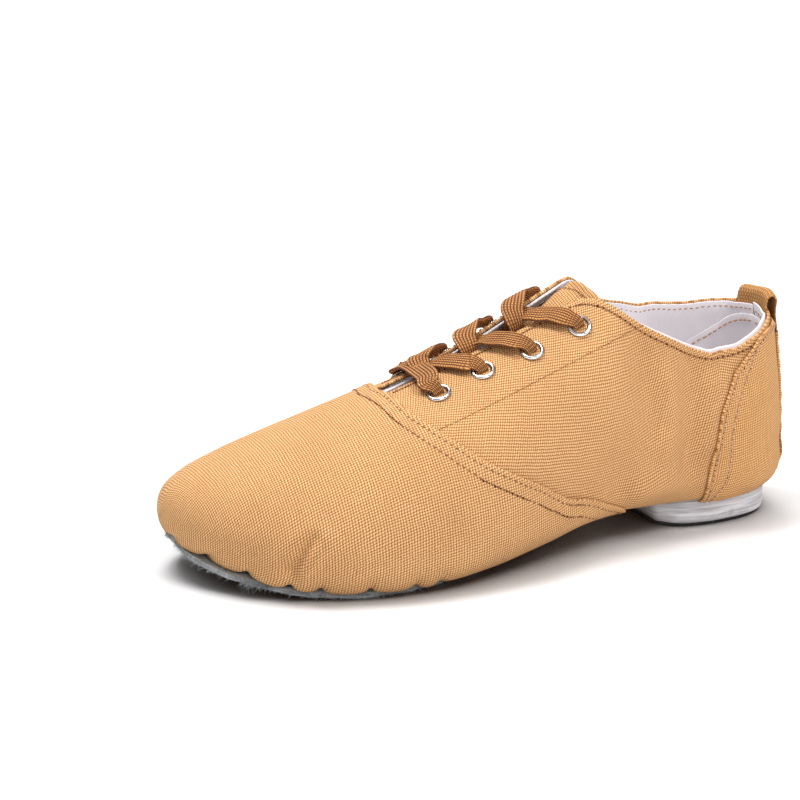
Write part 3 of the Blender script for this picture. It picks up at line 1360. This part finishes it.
def lining_stitches(side, tag):
    """topline stitches as seen on the lining"""
    station = np.linspace(-0.97, 1.9, 420)
    path = shift_path(station, topline_girth(station, side), 2.4 if side > 0 else -2.1)
    station, girth = [smoothed(values, 60) for values in path]
    place, up = offset(station, girth, LINING[1]+0.04-lining_shift(station, girth, side))
    obj = sew("lining_topline_stitches_"+tag, place, -up, 2.35, INNER_THREAD, length=0.78,
              radius=0.26, lift=0.04, hole=0.0, seed=60, even=True)
    attach(obj, "quarter_lining", arch)


# ---------------------------------------------------------------- tongue
# free edge: (girth, station)
TONGUE_TOP = monotone((1.72, 1.86), (1.77, 1.77), (1.835, 1.79), (1.95, 1.83), (2.0, 1.865),
                      (2.035, 1.915), (2.13, 1.985), (2.20, 2.03), (2.26, 2.14))
TONGUE_HALF = 0.40      # half width in girth, before the corners are rounded off
CORNER_SHARE = 0.62     # of that width left at the free edge


def tongue_edge(across):
    girth = 2+TONGUE_HALF*CORNER_SHARE*across
    return TONGUE_TOP(girth), girth


def tongue_depth(station, girth):
    off_centre = np.abs(girth-2)
    return (6.25-3.05*fade(station, 2.05, 2.7)*fade(off_centre, 0.20, 0.36)
            - 3.0*fade(station, 1.74, 2.02)*fade(off_centre, 0.16, 0.38)
            + 0.25*noise(point(station, girth), 14, 6.0))


def tongue():
    down = np.linspace(0, 1, segments(110))[:, None]
    across = np.linspace(-1, 1, segments(60))[None, :]
    corner = mix(CORNER_SHARE, 1, np.clip(down/0.12, 0, 1)**0.5)
    station = mix(tongue_edge(across)[0], 5.36, down)
    for name, width, depths, material, slot in (
            ("tongue_cloth", 1.0, (0.0, 0.8), TONGUE_CANVAS, "tongue_canvas"),
            ("tongue_lining_cloth", 0.985, (1.05, 1.6), LINING_COTTON, "tongue_lining")):
        girth = 2+width*mix(TONGUE_HALF, 0.25, down)*corner*across
        obj = sheet(name, station, girth, depths, material, -tongue_depth(station, girth),
                    start=3.0)
        attach(obj, slot, "tongue", slot)
    # a row 3 mm in from the free edge
    station, girth = shift_path(*tongue_edge(np.linspace(-0.93, 0.93, 200)), 3.0)
    place, up = offset(station, girth, tongue_depth(station, girth))
    obj = sew("tongue_stitches", place, up, 2.2, TAN_THREAD, radius=0.26, lift=0.1,
              hole=0.36, seed=71, even=True)
    attach(obj, "tongue_canvas", "tongue")


# ---------------------------------------------------------------- lace
# Control rows: station, girth, depth, width, thickness
LACE_WIDTH, LACE_THICK, HOLE_WIDTH = 8.8, 1.45, 3.7
# girth from the ridge to the facing edge: at the front eyelet, at the others
FACING_GAP = {OUTER: (.046, .060), INNER: (.090, .130)}
LACE_RIBS = 7


def from_ridge(side, distance):
    return 2-side*distance


def dive(k, side):
    """down through eyelet k"""
    station, girth = EYELETS[k][0], eyelet_girth(k, side)
    return [[station+.095, girth+side*.054, -2.75, LACE_WIDTH-1.9, LACE_THICK],
            [station+.030, girth+side*.024, -2.15, 5.2, LACE_THICK+.4],
            [station+.004, girth+side*.004, -.7, 4.2, LACE_THICK+.9],
            [station, girth, 1.3, HOLE_WIDTH+.1, LACE_THICK+1.0],
            [station, girth, 3.2, HOLE_WIDTH, LACE_THICK+.6]]


def strand(k, side, above):
    """from under eyelet k round the facing edge to the next eyelet of the other side,
    above or below the crossing strand"""
    station, girth, target = EYELETS[k][0], eyelet_girth(k, side), eyelet_girth(k+1, -side)
    step = station-EYELETS[k+1][0]
    gap, far_gap = FACING_GAP[side][k > 0], FACING_GAP[-side][k > 0]
    rows = [(.01, mix(girth, from_ridge(side, gap), .55), 4.75, 4.2),
            (.03, from_ridge(side, gap+(.018 if above else .016)), 4.55, 4.8)]
    if above:
        landing = from_ridge(-side, .12)
        rows += [(.04, from_ridge(side, gap-.022), 2.5, 5.6),
                 (.05, from_ridge(side, gap-.020), -.6, 6.8),
                 (.07, from_ridge(side, gap-.036), -2.9, 7.8),
                 (.14, from_ridge(side, gap-.082), -4.35, LACE_WIDTH),
                 (.36, from_ridge(-side, .09 if side > 0 else .03), -4.3, LACE_WIDTH),
                 (.62, mix(landing, target, .5), -3.2, LACE_WIDTH)]
    else:
        landing = from_ridge(-side, far_gap+.05)
        rows += [(.07, from_ridge(side, gap-.028), 3.0, 5.6),
                 (.16, from_ridge(side, gap-.058), 1.0, 6.8),
                 (.32, from_ridge(-side, far_gap-.045), -.9, 7.8),
                 (.46, from_ridge(-side, far_gap-.004), -2.3, LACE_WIDTH),
                 (.64, landing, -2.6, LACE_WIDTH),
                 (.80, mix(landing, target, .45), -2.9, LACE_WIDTH)]
    start = [[station-.005, girth+side*.006, 4.3, HOLE_WIDTH, LACE_THICK+.3]]
    return start+[[station-step*part, *rest, LACE_THICK] for part, *rest in rows]+dive(
        k+1, -side)


def lace_half(side, end_girths):
    """three strands and the end; those from under the outer facing lie on top"""
    rows = []
    for k in range(3):
        rows += strand(k, side, above=side > 0)
        side = -side
    first, second, third = end_girths
    return rows+[[2.13, first, 4.4, HOLE_WIDTH, LACE_THICK],
                 [2.05, second, 4.9, 3.6, LACE_THICK], [1.97, third, 5.1, 3.2, 1.2]]


def lace_controls():
    bar = [[4.46, 2.15, -2.5, LACE_WIDTH-.4, LACE_THICK],
           [4.46, 2.05, -2.7, LACE_WIDTH, LACE_THICK],
           [4.46, 1.95, -2.8, LACE_WIDTH, LACE_THICK],
           [4.46, 1.87, -3.0, LACE_WIDTH-.5, LACE_THICK]]
    return np.array(lace_half(INNER, (1.723, 1.64, 1.53))[::-1]+dive(0, INNER)[::-1]+bar
                    + dive(0, OUTER)+lace_half(OUTER, (2.305, 2.39, 2.50)))


def lace():
    controls = lace_controls()
    spans = len(controls)-1
    place = np.linspace(0, spans, spans*13+1)
    i = np.minimum(np.floor(place).astype(int), spans-1)
    rows = catmull_rom(*[controls[np.clip(i+k, 0, spans)] for k in (-1, 0, 1, 2)],
                       (place-i)[:, None])
    centre, normals = offset(rows[:, 0], rows[:, 1], rows[:, 2])
    centre = smoothed(centre, 2)
    tangents = smoothed(unit(np.gradient(centre, axis=0)), 6, directions=True)
    # the flat side runs forwards and down
    guide = np.array([0, -1, -.38])
    widths = unit(guide-(tangents @ guide)[:, None]*tangents)
    widths = smoothed(widths, 8, directions=True)
    widths = unit(widths-(widths*tangents).sum(-1)[:, None]*tangents)
    backs = np.cross(tangents, widths)
    outward = np.sign((backs*normals).sum(-1).mean())
    half_width, half_thick = rows[:, 3:4]/2, rows[:, 4:5]/2
    lengths = arc_lengths(centre)
    uneven = 0.25*noise(np.stack([lengths*0, lengths, lengths*0], -1), 9, 1.)
    twist = 0.10*noise(np.stack([lengths*0+5, lengths, lengths*0], -1), 14, 4.)
    # ribbed section: one face, then the other back again
    across = np.linspace(-1, 1, 61)
    profile = 0.54+0.46*np.abs(np.sin(np.pi*LACE_RIBS*(across+1)/2))**0.7
    profile = profile*np.sqrt(np.clip(1-np.abs(across)**9, 0.06, 1))
    across = np.concatenate([across, across[::-1]])
    profile = np.concatenate([profile, -profile[::-1]])
    # on top the lace bows a little across its width
    bow = -0.35*(rows[:, 2:3] < 0)*across**2*np.minimum(1, half_width/4)
    sideways = across*(half_width+uneven[:, None]*0.3)
    points = (centre[:, None]+sideways[..., None]*(widths+twist[:, None]*backs)[:, None]
              + (profile*half_thick+bow*outward)[..., None]*backs[:, None])
    along, ribs = np.meshgrid(lengths, (across+1)/2*LACE_RIBS, indexing="ij")
    faces = [face[::-1] for face in tube_faces(len(centre), len(across))]
    obj = make_mesh("lace_braided", points.reshape(-1, 3), faces,
                    np.stack([along.ravel(), ribs.ravel()], -1), LACE)
    attach(obj, "lace_braid", "midfoot", "lace")


# ---------------------------------------------------------------- heel block and lift
HEEL_TOP = 10.45
HEEL_FRONT = -30.5      # y of the front face near the floor
BLOCK_INSET = 0.40
# (z, inset) of the block's rings
BLOCK_RINGS = ((1.5, 1.1), (1.56, .75), (1.75, .48), (2.2, .40), (3.6, .40), (4.8, .40),
               (6.0, .42), (7.2, .40), (8.4, .40), (9.4, .40), (9.9, .45), (10.25, .62),
               (10.42, .95), (HEEL_TOP, 1.3))
# (z, inset, front y) of the lift's rings
LIFT_RINGS = ((0.0, 1.9, -29.9), (0.05, 1.6, -30.2), (0.25, 1.45, -30.45),
              (0.7, 1.4, HEEL_FRONT), (1.15, 1.4, HEEL_FRONT), (1.36, 1.45, -30.45),
              (1.45, 1.7, -30.3))


def heel_ring(inset, front, count=140):
    angles = np.radians(np.arange(49)*3.75)
    cosine, sine = np.cos(angles), np.sin(angles)
    exponent = 2/2.8
    back = np.stack([(24.8-inset)*np.sign(cosine)*np.abs(cosine)**exponent,
                     -12+(35.6-inset)*np.abs(sine)**exponent], -1)
    radius = 3.0
    corner_x = radius-(17.6-inset)
    left = [(-24.1+inset, -17), (-23.2+inset, -21), (-21.4+inset, -25)]
    left += [(corner_x-radius*math.cos(angle)-0.4, front+radius-radius*math.sin(angle))
             for angle in np.radians([10, 30, 50, 70])]
    right = [(-x, y) for x, y in left[::-1]]
    ring = resample(np.vstack([back, left, right, back[:1]]), count=count+1)[:-1]
    for _ in range(3):
        ring = (np.roll(ring, 1, 0)+2*ring+np.roll(ring, -1, 0))/4
    return ring


def heel_stack(name, levels, material, uneven, seed):
    """closed solid through horizontal rings: z, inset, front y"""
    rings = []
    for z, inset, front in levels:
        ring = heel_ring(inset, front)
        rings.append(np.column_stack([ring, np.full(len(ring), z)]))
    size = len(rings[0])
    points = np.vstack(rings)
    away = points-points.mean(0)
    away[:, 2] = 0
    bumps = uneven*noise(points*np.array([1, 1, 2.2]), 7, seed)
    points = points+unit(away)*bumps[:, None]
    faces = tube_faces(len(rings), size, caps=False)
    low = len(points)
    points = np.vstack([points, [[0, -8, levels[0][0]]], [[0, -8, levels[-1][0]]]])
    for j in range(size):
        k = (j+1) % size
        faces.append((low, k, j))
        faces.append((low+1, low-size+j, low-size+k))
    return make_mesh(name, points, faces, None, material)


def heel():
    # the front face leans towards the toe as it rises
    levels = [(z, inset, HEEL_FRONT-3.5*(z-2)/(HEEL_TOP-2)+(inset-BLOCK_INSET))
              for z, inset in BLOCK_RINGS]
    obj = heel_stack("heel_block_painted", levels, HEEL_PAINT, uneven=0.10, seed=3.0)
    attach(obj, "heel_painted", "heel", "heel_block")
    obj = heel_stack("heel_lift_rubber", LIFT_RINGS, LIFT_RUBBER, uneven=0.08, seed=6.0)
    attach(obj, "top_lift_rubber", "heel", "heel_top_lift")


# ---------------------------------------------------------------- bottom layers
# feather height under the toe: (station, z)
TOE_SPRING = np.array([(8, 7.0), (8.5, 8.8), (9, 10.6), (9.5, 12.3), (10, 13.7),
                       (10.5, 14.8), (11, 15.5)])
TOE_TUCK = 3.2  # the suede's tip is drawn back by this


def bottom_outline(station, inset):
    """outer x, inner x, y and feather height"""
    station, inset = floats(station, inset)
    row = np.moveaxis(form_row(np.maximum(station, 0)), -1, 0)
    distance, x_outer, x_inner, x_ridge, z_base, share_outer, share_inner = row[
        [0, 1, 2, 3, 4, 7, 8]]
    at_toe = station > TOE_SPRING[0, 0]
    share_outer = np.where(at_toe, 0.88, share_outer)
    share_inner = np.where(at_toe, 0.86, share_inner)
    z = np.where(at_toe, np.interp(station, *TOE_SPRING.T), z_base)
    angle = np.clip(-station, 0, 1)*np.pi/2
    taper = cos_power(angle, BACK_EXP)
    outer = x_ridge+((x_outer-x_ridge)*share_outer-inset)*taper
    inner = x_ridge+((x_inner-x_ridge)*share_inner+inset)*taper
    y = ORIGIN_Y-distance+(HEEL_DEPTH*BASE_SHARE-inset)*sin_power(angle, BACK_EXP)
    return outer, inner, y, z


def toe_tuck(station):
    return TOE_TUCK*ease(station, 9.6, 10.8)


def slab(name, station, bottom, top, inset, material, uneven, seed, ragged=0.0, cols=34,
         tuck=0.0):
    """flat layer with rounded edges; bottom and top are heights above the feather edge"""
    station, bottom, top, inset = floats(station, bottom, top, inset)
    outer, inner, y, z = [values[:, None] for values in bottom_outline(station, inset)]
    y = y+np.asarray(tuck+0*station)[:, None]
    across = np.linspace(-1, 1, cols)
    across = np.sign(across)*(1-(1-np.abs(across))**1.4)
    across = np.concatenate([across, across[::-1]])
    face = np.repeat([1, -1], cols)
    centre, half = (outer+inner)/2, (outer-inner)/2
    x = centre+half*across
    from_centre = x-centre
    thick, middle = (top-bottom)[:, None], (bottom+top)[:, None]/2
    into_edge = np.clip((half-np.abs(from_centre))/(thick*0.5), 0, 1)
    rounding = np.sqrt(np.clip(1-(1-into_edge)**2, 0, 1))
    points = np.stack([x, y+0*x, z+middle+face*(thick/2)*rounding], -1).reshape(-1, 3)
    # ragged cut edge
    edge = ease(np.abs(from_centre)/np.maximum(half, 1), 0.86, 1.0).ravel()*ragged
    tatter = noise(points, 3.2, seed)+0.8*noise(points, 9.0, seed+3)
    points[:, 0] += np.sign(from_centre).ravel()*edge*tatter
    points[:, 2] += edge*0.5*noise(points, 5.0, seed+8)
    points[:, 2] += uneven*noise(points*np.array([1, 1, 0]), 16, seed)
    points[:, 2] = np.maximum(points[:, 2], 0.02)
    size = 2*cols
    faces = [(one, four, three, two) for one, two, three, four
             in tube_faces(len(station), size, caps=False)]
    for base, order in ((0, 1), ((len(station)-1)*size, -1)):
        faces += [(base+j, base+j+1, base+size-2-j, base+size-1-j)[::order]
                  for j in range(cols-1)]
    return make_mesh(name, points, faces, points[:, [1, 0]], material)


def sole_rise(station):
    return 1.5*ease(station, 8.9, 10.6)


def sole_inset(station):
    return -2.0+2.3*ease(station, 8.6, 10.3)+4.5*fade(station, 4.4, 6.3)


def forefoot_layers():
    station = np.concatenate([np.linspace(4.3, 8.4, segments(110)),
                              np.linspace(8.4, 10.0, 34)[1:],
                              np.linspace(10.0, 10.80, 40)[1:]])
    rise = sole_rise(station)
    obj = slab("forefoot_sole_suede", station, -3.8+rise, -1.75+rise, sole_inset(station),
               SUEDE, uneven=0.12, seed=2.0, ragged=0.55, cols=44, tuck=toe_tuck(station))
    attach(obj, "sole_suede", ball, "forefoot_sole")
    station = np.linspace(4.35, 8.2, 50)
    obj = slab("forefoot_midsole_foam", station, -1.15, 0.9,
               1.2+3*np.clip(station-7.6, 0, 1), FOAM, uneven=0.05, seed=4.0)
    attach(obj, "midsole_foam", ball, "forefoot_midsole")
    station = np.linspace(3.1, 10.0, 90)
    bottom = (2.8-1.3*np.clip((station-4.9)/.8, 0, 1)
              + 2.1*np.clip((station-7)/1.2, 0, 1))
    obj = slab("forefoot_insole_cloth", station, bottom, bottom+1.1,
               2.6+2.4*np.clip(station-8.2, 0, 1.8), SOCK_COTTON, uneven=0.10, seed=5.0)
    attach(obj, "insole_cotton", ball, "forefoot_insole")


def arch_layers():
    obj = slab("arch_panel_cloth", np.linspace(.84, 4.2, 70), 0.1, 1.1, 0.8, QUARTER_CANVAS,
               uneven=0.0, seed=6.0)
    attach(obj, "arch_canvas", arch, "arch_panel")
    station = np.concatenate([np.linspace(-.88, 0, 26), np.linspace(0, 2.95, 60)[1:]])
    forward = np.clip((station-1.2)/1.6, 0, 1)
    obj = slab("heel_arch_sock_cloth", station, mix(5.05, 2.8, forward),
               mix(6.15, 3.9, forward), 2.9, SOCK_COTTON, uneven=0.12, seed=7.0)
    attach(obj, "sock_cotton", arch, "heel_arch_sock")


FIBRE_RINGS, FIBRE_SIDES = 4, 3


def loose_fibres():
    """suede fibres along the cut edge of the sole"""
    rng = np.random.default_rng(99)
    verts, faces = [], []
    angles = 2*math.pi*np.arange(FIBRE_SIDES)[:, None]/FIBRE_SIDES
    for _ in range(3400):
        if rng.random() < 0.8:
            station = rng.choice([rng.uniform(4.35, 8.4), rng.uniform(8.0, 10.6)])
        else:
            station = 10.78-0.5*rng.random()**2
        side = OUTER if rng.random() < 0.6 else INNER
        column = 0 if side > 0 else 1
        here = bottom_outline(station, sole_inset(station))
        ahead = bottom_outline(station+0.05, sole_inset(station+0.05))
        x, y = here[column], here[2]
        tangent = unit(np.array([ahead[column]-x, ahead[2]-y, 0.]))
        out = np.array([tangent[1], -tangent[0], 0.])
        if out[0]*side < 0 and station < 10:
            out = -out
        # away from the middle of the forefoot
        if out @ np.array([x+6, y+160, 0]) < 0:
            out = -out
        z = max(here[3]+sole_rise(station)-1.9-1.8*rng.random(), 0.15)
        root = np.array([x, y+toe_tuck(station), z])-out*0.45+tangent*rng.normal()*0.3
        tuft = bell(station-8.36, 0.12)*(side > 0)
        length = 0.40+abs(rng.normal())*0.70+2.6*tuft*rng.random()
        direction = unit(out*rng.uniform(.5, 1.2)+tangent*rng.normal()*0.7
                         + np.array([0, 0, rng.normal()*0.35-0.1]))
        bend = np.array([rng.normal()*.3, rng.normal()*.3, rng.normal()*.25])
        width = 0.085*(0.7+0.6*rng.random())
        beside = unit(np.cross(direction, [0, 0, 1.])+1e-6)
        ring = beside*np.cos(angles)+np.cross(beside, direction)*np.sin(angles)
        faces += tube_faces(FIBRE_RINGS, FIBRE_SIDES, base=len(verts))
        for part in np.arange(FIBRE_RINGS)/(FIBRE_RINGS-1):
            centre = root+direction*(0.5+length)*part+bend*length*part*part
            centre[2] = max(centre[2], 0.05)
            verts.extend(centre+ring*width*(1-0.75*part))
    obj = make_mesh("sole_loose_fibres", np.array(verts), faces, None, SUEDE)
    attach(obj, "sole_suede", ball)


# ---------------------------------------------------------------- eyelets
# section of the ring: (radius, height over the surface)
EYELET_SECTION = (
    (2.66, -1.2), (2.72, -0.5), (2.86, 0.15), (3.06, 0.60), (3.32, 0.93), (3.62, 1.08),
    (3.95, 1.06), (4.22, 0.88), (4.42, 0.62), (4.50, 0.38), (4.42, 0.18), (4.1, 0.14),
    (3.3, 0.18), (3.06, 0.0), (3.04, -1.4), (3.04, -3.08), (3.4, -3.12), (3.6, -3.2),
    (3.62, -3.32), (3.4, -3.42), (3.0, -3.42), (2.74, -3.2), (2.66, -2.6))


def eyelets(side, tag):
    count = 64
    rng = np.random.default_rng(7+side)
    verts, faces = [], []
    for k, row in enumerate(EYELETS):
        centre, axis = offset(row[0], eyelet_girth(k, side), 0.0)
        axis = unit(axis+rng.normal(size=3)*0.02)
        first = unit(np.cross(axis, [0, 0, 1.]))
        second = np.cross(axis, first)
        faces += tube_faces(count, len(EYELET_SECTION), base=len(verts), caps=False,
                            closed=True)
        for i in range(count):
            angle = 2*math.pi*i/count
            spoke = first*math.cos(angle)+second*math.sin(angle)
            oval = 1+0.008*math.cos(2*angle+k)
            wave = 0.02*math.sin(3*angle+k)
            for radius, height in EYELET_SECTION:
                rise = height+wave if height > 0 else height
                verts.append(centre+spoke*radius*oval+axis*rise)
    obj = make_mesh(tag+"_eyelet_rings", np.array(verts), faces, None, NICKEL)
    attach(obj, "eyelet_nickel", "midfoot", tag+"_eyelets")


# ---------------------------------------------------------------- floor, light, camera
FLOOR_HALF = 8.0
LIGHT_TARGET = Vector((0, -0.09, 0.03))
# name, place, side of the square, power
LIGHTS = (("key", (-0.22, -0.42, 1.15), 0.42, 11.5),
          ("key_right", (0.62, 0.22, 1.02), 0.40, 7.5),
          ("fill", (1.15, -0.45, 0.60), 0.6, 3.4),
          ("back", (-0.75, 0.25, 0.95), 0.6, 6))
CAMERA_TARGET = Vector((0, -0.095, 0.030))
CAMERA_DISTANCE = 0.698
CAMERA_AZIMUTH, CAMERA_ELEVATION, CAMERA_ROLL = [math.radians(a) for a in (63.8, 18.1, 0.75)]


def add_floor():
    mesh = bpy.data.meshes.new("floor")
    corners = [(x*FLOOR_HALF, y*FLOOR_HALF, 0) for x, y in ((-1, -1), (1, -1), (1, 1), (-1, 1))]
    mesh.from_pydata(corners, [], [(0, 1, 2, 3)])
    floor = bpy.data.objects.new("floor", mesh)
    scene.collection.objects.link(floor)
    net = Shader("floor_pale")
    # warm dark contact shadow close under the shoe
    contact = net.node("ShaderNodeAmbientOcclusion", samples=6)
    contact.inputs["Distance"].default_value = 0.024
    open_part = net.ramp(contact.outputs["AO"], span=(0.10, 0.80))
    net.set(Base_Color=net.blend(open_part, (0.050, 0.022, 0.009, 1), (0.86, 0.86, 0.865, 1)),
            Roughness=0.55, Specular_IOR_Level=0.3)
    # the far floor glows so that it runs into the white background
    distance = net.node("ShaderNodeVectorMath", operation="LENGTH")
    net.feed(distance.inputs[0], net.place())
    net.set(Emission_Color=(1, 1, 1, 1),
            Emission_Strength=net.ramp(distance.outputs["Value"], span=(0.35, 1.0)))
    mesh.materials.append(net.material)


def add_world():
    """soft light from all round; the camera sees it as plain white"""
    world = bpy.data.worlds.new("studio")
    scene.world = world
    world.use_nodes = True
    tree = world.node_tree
    background = tree.nodes["Background"]
    background.inputs["Color"].default_value = (1, 1, 1, 1)
    rays = tree.nodes.new("ShaderNodeLightPath")
    strength = tree.nodes.new("ShaderNodeMapRange")
    strength.inputs["To Min"].default_value = 0.36
    strength.inputs["To Max"].default_value = 1.0
    tree.links.new(rays.outputs["Is Camera Ray"], strength.inputs["Value"])
    tree.links.new(strength.outputs["Result"], background.inputs["Strength"])


def add_lights():
    for name, place, size, power in LIGHTS:
        light = bpy.data.lights.new(name, "AREA")
        light.shape = "RECTANGLE"
        light.size = light.size_y = size
        light.energy = power
        light.color = (1, 1, 1)
        obj = bpy.data.objects.new(name, light)
        scene.collection.objects.link(obj)
        obj.location = place
        obj.rotation_mode = "QUATERNION"
        obj.rotation_quaternion = (LIGHT_TARGET-Vector(place)).to_track_quat("-Z", "Y")


def add_camera():
    flat = math.cos(CAMERA_ELEVATION)
    towards = Vector((math.sin(CAMERA_AZIMUTH)*flat, -math.cos(CAMERA_AZIMUTH)*flat,
                      math.sin(CAMERA_ELEVATION)))
    camera = bpy.data.cameras.new("cam")
    obj = bpy.data.objects.new("cam", camera)
    scene.collection.objects.link(obj)
    camera.sensor_width = 36
    camera.lens = 82.98522
    camera.shift_x = -0.1125
    camera.shift_y = 0.076875
    obj.location = CAMERA_TARGET+towards*CAMERA_DISTANCE
    obj.rotation_mode = "QUATERNION"
    aim = (-towards).to_track_quat("-Z", "Y")
    obj.rotation_quaternion = Quaternion(towards, CAMERA_ROLL) @ aim
    scene.camera = obj
    scene.view_settings.view_transform = "Standard"
    scene.view_settings.look = "None"


# ---------------------------------------------------------------- build
for quarter in SIDE_NAMES.items():
    quarter_cloth(*quarter)
    quarter_rows(*quarter)
    stay_tape(*quarter)
    quarter_lining(*quarter)
vamp()
counter_cloth()
counter_stitches()
heel_stiffener()
heel_patch()
backstay()
pull_loop()
for quarter in SIDE_NAMES.items():
    lining_stitches(*quarter)
tongue()
lace()
heel()
forefoot_layers()
arch_layers()
loose_fibres()
for quarter in SIDE_NAMES.items():
    eyelets(*quarter)
add_floor()
add_world()
add_lights()
add_camera()
